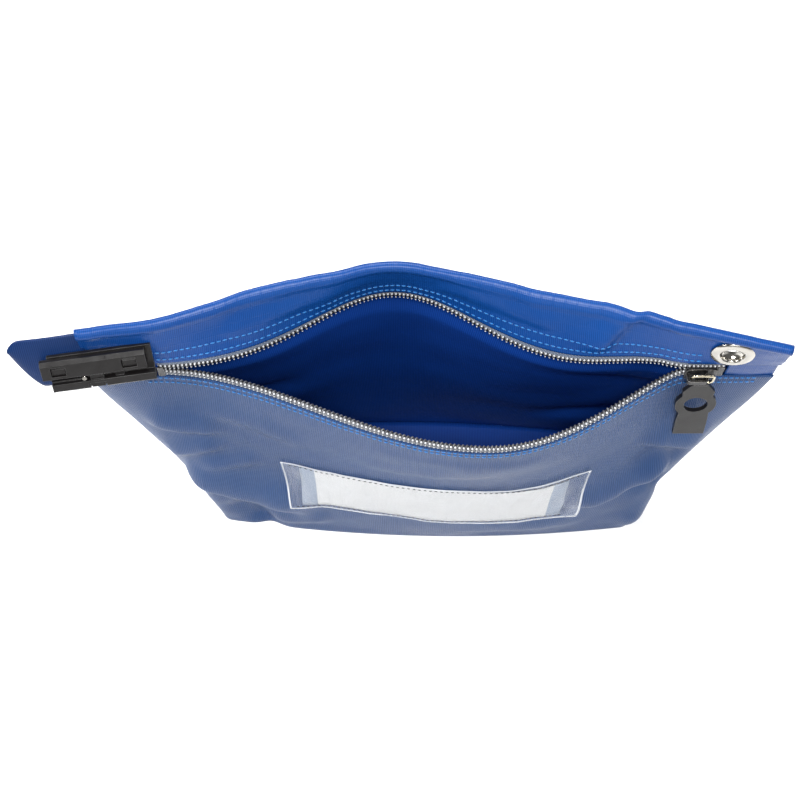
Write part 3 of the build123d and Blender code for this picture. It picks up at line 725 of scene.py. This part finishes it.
# %% Header facing
def header_surface(x, z, out):
    """A point of the header's front layer, out from its place; it buckles at one kink."""
    share = max(-1.0, min(1.0, x / RIM_HALF))
    wavy = 0.6 * noise.noise(Vector((x / 11, z / 9, 4.0))) + 1.3 * noise.noise(Vector((x / 30, z / 20, 9.0)))
    kink = ridge((x, z), (100, 208), (76, 180), 2.6, 7, 4) - ridge((x, z), (108, 204), (88, 180), 1.8, 7, 7)
    kink += ridge((x, z), (-20, 192), (-90, 190), 1.4, 7, 4) + ridge((x, z), (60, 190), (6, 192), 1.2, 7, 4)
    calm = min(1.0, max(0.0, (z - 177) / 6)) * min(1.0, max(0.0, (math.hypot(x - 141, z - 188) - 11) / 8))
    return wall(1, share, z) + outward(1, share, z) * (out - max(0.0, wavy + kink) * calm)


def header_place(u, v):
    """Up the header's face for the first part of v, then over the roll and down behind."""
    x = -165.5 + 331.5 * u
    if v <= 0.62:
        return header_surface(x, 177.3 + 20.0 * v / 0.62, -1.9)
    turn = math.radians(205 - 245 * (v - 0.62) / 0.38)
    return header_surface(x, 200.2 + 2.9 * math.sin(turn), -0.4 + 2.7 * math.cos(turn))


facing_sheet = cut_sheet(200, 44, 332, 42, header_place)
punch(facing_sheet)
facing = show("header_facing", facing_sheet, [HEADER_CLOTH, HEADER_CLOTH], "bag",
              ["header_strip"])
thicken(facing, 0.7, offset=-1.0)
close_with_zip(facing)
print("header facing:", len(facing.data.polygons), "faces")

# %% [markdown]
# ## Zip tapes and coils
# A coil zip is a long spring of nylon wire, pressed oval and sewn to the edge of a woven tape. So
# the coil is made as one: a small ring is spun round an axis with a step along it at every turn,
# which winds a real spring. The straight spring is then pressed oval and laid along the rim. A filler
# cord runs inside it, as in a real chain; it is near black, so it also paints the shade in the coil's
# middle.


# %% Tape
def tape_sheet(side):
    low, high = (152.4, 166.5) if side < 0 else (173.5, 187.6)

    def shape(u, v):
        x, z = ZIP_LEFT + (ZIP_RIGHT - ZIP_LEFT) * u, low + (high - low) * v
        return wall(side, share_at(side, x, z), z) + outward(side, share_at(side, x, z), z) * -0.85

    return cut_sheet(136, 10, ZIP_RIGHT - ZIP_LEFT, high - low, shape, flip=side > 0)


for side, word in ((-1, "front"), (1, "back")):
    weave_sheet = tape_sheet(side)
    punch(weave_sheet)
    tape = show(f"zip_tape_weave_{word}", weave_sheet, [ZIP_TAPE], "bag", [f"zip_tape_{word}"])
    thicken(tape, 0.7)
    close_with_zip(tape)
    print(tape.name, len(tape.data.polygons), "faces")


# %% Coil
def wind_coil(side, pitch=2.0):
    """A spring wound with spin, pressed oval and bent along the rim."""
    turns = int((ZIP_RIGHT - ZIP_LEFT - 1) / pitch)
    bm = bmesh.new()
    ring = bmesh.ops.create_circle(bm, segments=6, radius=0.42)["verts"]
    bmesh.ops.translate(bm, verts=ring, vec=(0, 1.25, 0))
    steps = 10 * turns
    bmesh.ops.spin(bm, geom=bm.verts[:] + bm.edges[:], cent=(0, 0, 0), axis=(1, 0, 0),
                   dvec=(pitch * turns / steps, 0, 0), angle=2 * math.pi * turns, steps=steps,
                   use_merge=False, use_duplicate=False)
    bmesh.ops.holes_fill(bm, edges=[e for e in bm.edges if e.is_boundary], sides=0)
    bmesh.ops.scale(bm, verts=bm.verts, vec=(1, 0.95, 1.30))
    middle = ZIP_HEIGHT + side * 3.0
    for vert in bm.verts:
        x, off, up = vert.co
        x += ZIP_LEFT + 0.8
        share = share_at(side, x, middle)
        place = wall(side, share, middle) + outward(side, share, middle) * (off - 0.5)
        vert.co = (place + Vector((0, 0, up))) * MM
    bmesh.ops.recalc_face_normals(bm, faces=bm.faces)
    return bm


def chain_place(side, x, rise, off):
    """A point beside a coil's middle line: rise up, and off towards the front."""
    z = ZIP_HEIGHT + side * 3.0
    share = share_at(side, x, z)
    return wall(side, share, z) + outward(side, share, z) * (-0.5 - side * off) + Vector((0, 0, rise))


def cord_place(side):
    def shape(u, v):
        return chain_place(side, ZIP_LEFT + 1 + (ZIP_RIGHT - ZIP_LEFT - 2) * u, 2.5 * v - 1.25, 0.0)
    return shape


for side, word in ((-1, "front"), (1, "back")):
    coil = show(f"coil_{word}", wind_coil(side), [COIL_NYLON], "bag", [f"zip_coil_{word}"])
    close_with_zip(coil)
    # The near-black cord is the coil's filler and also paints the shade in the coil's middle.
    cord = show(f"filler_cord_{word}", cut_sheet(136, 2, 270, 2.5, cord_place(side)), [CORD_AND_PAINTED_SHADE], "bag")
    close_with_zip(thicken(cord, 1.5, offset=0.0))
    print(coil.name, len(coil.data.polygons), "faces")

# %% [markdown]
# ## Stitching
# A lockstitch shows on each face as short raised grains of thread with a dip between them. Each is
# a stretched ball, laid along its row and half sunk in the cloth. Their number is large, so each
# has only a couple of dozen faces. Bright beads are laid the same way along the chain, over the
# heads and feet of the coil's loops; they are painted highlights on the glossy coil.


# %% Stitch helper
def sew(bm, route, count, length, thick):
    """Lays stitches along a route, which gives a point in mm for 0 to 1."""
    for number in range(count):
        here = Vector(route((number + 0.2) / count))
        there = Vector(route((number + 0.8) / count))
        run = (there - here).normalized()
        turn = run.to_track_quat("X", "Z").to_matrix().to_4x4()
        place = Matrix.Translation((here + there) / 2 * MM) @ turn
        place = place @ Matrix.Diagonal((length / 2 * MM, thick / 2 * MM, thick / 2 * MM, 1))
        bmesh.ops.create_uvsphere(bm, u_segments=6, v_segments=4, radius=1.0, matrix=place)


def sewn(name, rows, count, length, thick, material, shut=True):
    bm = bmesh.new()
    for route in rows:
        sew(bm, route, count, length, thick)
    piece = show(name, bm, [material], "bag")
    if shut:
        close_with_zip(piece)
    return piece


# %% Rows of stitches
def front_row(z):
    def route(t):
        x = -138 + 296 * t
        share = share_at(-1, x, z)
        return front_place(share, z, CLOTH + 0.12)
    return route


def header_row(z):
    def route(t):
        return header_surface(-134 + 262 * t, z, -2.05)
    return route


def head_row(side, rise, off):
    def route(t):
        return chain_place(side, ZIP_LEFT + 0.8 + (ZIP_RIGHT - ZIP_LEFT - 1) * t, rise, off)
    return route


# Painted highlights: rows of pale beads over the heads and feet of each coil's loops.
sewn("coil_head_highlights", [head_row(-1, 1.2, 0.8), head_row(1, 1.2, 0.8)], 135, 1.25, 1.35,
     COIL_HIGHLIGHT_BEADS)
sewn("coil_foot_highlights", [head_row(-1, -1.1, 1.3), head_row(1, -1.1, 1.3)], 135, 0.9, 0.75,
     COIL_HIGHLIGHT_BEADS)
rows = sewn("front_stitches", [front_row(161.3), front_row(157.6)], 108, 2.3, 0.8,
            BLUE_THREAD)
tops = sewn("header_stitches", [header_row(180.0), header_row(184.6)], 92, 2.4, 0.8,
            CYAN_THREAD)
print("stitches:", len(rows.data.polygons) // 24 + len(tops.data.polygons) // 24)

# %% [markdown]
# ## The wedge beside the zip
# Between the zip's end and the side seam the mouth is closed by a doubled piece of the bright
# cloth. It lies flat over both walls and is caught in the front panel's stitching.


# %% Zip end wedge
def wedge_place(u, v):
    x, z = 141.8 + 23.8 * u, 156.8 + 23.4 * v
    share = share_at(1, x, z)
    puff = 0.5 * math.sin(math.pi * u) * math.sin(math.pi * v)
    return wall(1, share, z) - outward(1, share, z) * (0.95 + puff)


wedge_sheet = cut_sheet(18, 16, 24, 24, wedge_place)
punch(wedge_sheet)
wedge = show("zip_end_wedge", wedge_sheet, [HEADER_CLOTH], "bag",
             ["zip_end_tab"])
thicken(wedge, 0.7, offset=-1.0)
close_with_zip(wedge)
print("wedge:", len(wedge.data.polygons), "faces")

# %% [markdown]
# ## Name window
# A strip of clear vinyl is sewn along its top and bottom edges. A white card slides in from the
# side. The vinyl stands a little off the cloth, sags at its middle, and curls out at its free
# right corner.


# %% Film and card
FILM_WIDTH, FILM_HEIGHT, FILM_CORNER = 160, 60, 12


def pocket_place(u, v, out, left, right, low, high):
    sag = 1 - (2 * u - 1) ** 2
    z = low + (high - low) * v
    x = left + (right - left) * u
    share = share_at(-1, x, min(max(z, 1), 160))
    return front_place(share, z, out + 0.5 * sag * math.sin(math.pi * v))


def film_place(u, v):
    """The film, with its lower right corner rounded off and curled out."""
    right, low = 1 - (1 - u) * FILM_WIDTH / FILM_CORNER, 1 - v * FILM_HEIGHT / FILM_CORNER
    if right > 0 and low > 0:
        pull = max(right, low) / math.hypot(right, low)
        u = 1 - (1 - right * pull) * FILM_CORNER / FILM_WIDTH
        v = (1 - low * pull) * FILM_CORNER / FILM_HEIGHT
    curl = 5.0 * max(0.0, (u - 0.93) / 0.07) ** 2 * (1 - v) ** 1.5
    low_edge = 47 - 11.5 * min(1.0, u / 0.5) ** 0.8
    high_edge = 94.5 + 4.5 * math.sin(math.pi * min(1.0, u / 0.9) / 2)
    return pocket_place(u, v, 1.9 + curl, -77.0 + 3.0 * (1 - v), 83.5 - 4.5 * (1 - v), low_edge, high_edge)


film = show("window_film_sheet", cut_sheet(72, 26, 160, 56, film_place), [CLEAR_FILM], "bag",
            ["window_film"])
thicken(film, 0.35)
close_with_zip(film)


def card_place(u, v):
    low_edge = 49 - 11 * min(1.0, u / 0.5) ** 0.8
    return pocket_place(u, v, 1.25, -67.5, 73.0, low_edge, 91.5 + 3.5 * math.sin(math.pi * u))


card = show("white_name_card", cut_sheet(48, 16, 140, 50, card_place), [WHITE_CARD], "card",
            ["name_card"])
thicken(card, 0.35)
close_with_zip(card)
print("film and card:", len(film.data.polygons), len(card.data.polygons), "faces")


# %% Film stitches
def film_row(v):
    def route(t):
        return film_place(0.02 + 0.95 * t, v) + Vector((0, -0.15, 0.1))
    return route


film_stitches = sewn("film_stitches", [film_row(0.95), film_row(0.05)], 54, 1.9, 0.55,
                     BLACK_THREAD)
print("film stitches:", len(film_stitches.data.polygons) // 24)

# %% [markdown]
# ## Eyelet
# The eyelet is one stamped barrel with a domed flange, rolled over a washer behind. It is turned:
# its profile is spun once round its axis.


# %% Eyelet
def eyelet_frame():
    """Where the eyelet sits: its axis comes out of the header's front."""
    turn = Vector(EYELET_OUT).to_track_quat("Z", "Y").to_matrix().to_4x4()
    return Matrix.Translation(EYELET_MIDDLE) @ turn


def turn_profile(points, place):
    """Spins a profile of (radius, height) in mm once round the axis."""
    bm = bmesh.new()
    verts = [bm.verts.new((r * MM, 0, h * MM)) for r, h in points]
    edges = [bm.edges.new(pair) for pair in zip(verts, verts[1:] + verts[:1])]
    bmesh.ops.spin(bm, geom=verts + edges, cent=(0, 0, 0), axis=(0, 0, 1), angle=2 * math.pi, steps=64,
                   use_merge=True, use_duplicate=False)
    bmesh.ops.remove_doubles(bm, verts=bm.verts, dist=1e-6)
    bmesh.ops.recalc_face_normals(bm, faces=bm.faces)
    bmesh.ops.transform(bm, matrix=place, verts=bm.verts)
    return bm


flange = [(5.6, -2.8), (5.6, 2.1), (6.0, 2.75), (6.9, 3.05), (8.2, 2.95), (9.5, 2.55), (10.4, 2.0),
          (10.5, 1.6), (10.1, 1.7), (9.0, 2.2), (7.6, 2.45), (6.6, 2.3), (6.2, 1.7), (6.2, -2.8)]
barrel = show("eyelet_turned", turn_profile(flange, eyelet_frame()), [NICKEL], "bag",
              ["eyelet_barrel"])
print("eyelet:", len(barrel.data.polygons), "faces")

# %% [markdown]
# ## Hard pieces that keep their CAD shape
# The slider, its link, the pull tab and the seal chamber are moulded or cast, so the CAD solids are
# already right. They only need their finishes.

# %% Finishes on the CAD pieces
FINISHES = {
    "slider_body": DARK_METAL, "slider_bridge": DARK_METAL, "zip_stop_left": DARK_METAL,
    "zip_stop_right": DARK_METAL, "pull_link": WIRE_METAL, "pull_tab": BLACK_PLASTIC,
    "eyelet_washer": NICKEL, "seal_peg": NICKEL, "seal_chamber_base": BLACK_PLASTIC,
    "seal_chamber_cover": BLACK_PLASTIC, "snap_hooks": BLACK_PLASTIC, "chamber_back_plate": BLACK_PLASTIC,
}
for name, material in FINISHES.items():
    NODES[name].data.materials.clear()
    NODES[name].data.materials.append(material)
print("finished CAD pieces:", len(FINISHES))

# %% [markdown]
# ## The tab behind the seal chamber
# The chamber is riveted to a tongue of cloth that is sewn into the header's left end. Its free end
# is rounded, and it cups a little because the clamp plate holds only its middle.


# %% Chamber tab
def chamber_frame():
    place = Matrix.Translation((-157, -3.7, 183.2)) @ Matrix.Rotation(math.radians(8.3), 4, "Z")
    place = place @ Matrix.Rotation(math.radians(-0.5), 4, "Y")
    return place @ Matrix.Rotation(math.radians(-30), 4, "X")


def tongue_place(u, v):
    """u runs from the sewn end to the free one, which is cut slanting and rounded."""
    low = -9.0 + 21.0 * max(0.0, (u - 0.62) / 0.38) ** 1.5
    high = 18.6 - 4.6 * max(0.0, (u - 0.80) / 0.20) ** 2.4
    along = -4.6 - 35.4 * u
    up = low + (high - low) * v
    cup = 1.2 * (2 * v - 1) ** 2 * u - 1.1 * math.sin(3.0 * u)
    return chamber_frame() @ Vector((along, 0.2 + 0.9 + cup * 0.8, up))


tongue = show("chamber_tongue", cut_sheet(30, 20, 34, 27, tongue_place), [TONGUE_CLOTH], "bag",
              ["chamber_tab"])
thicken(tongue, 0.8)
print("tongue:", len(tongue.data.polygons), "faces")
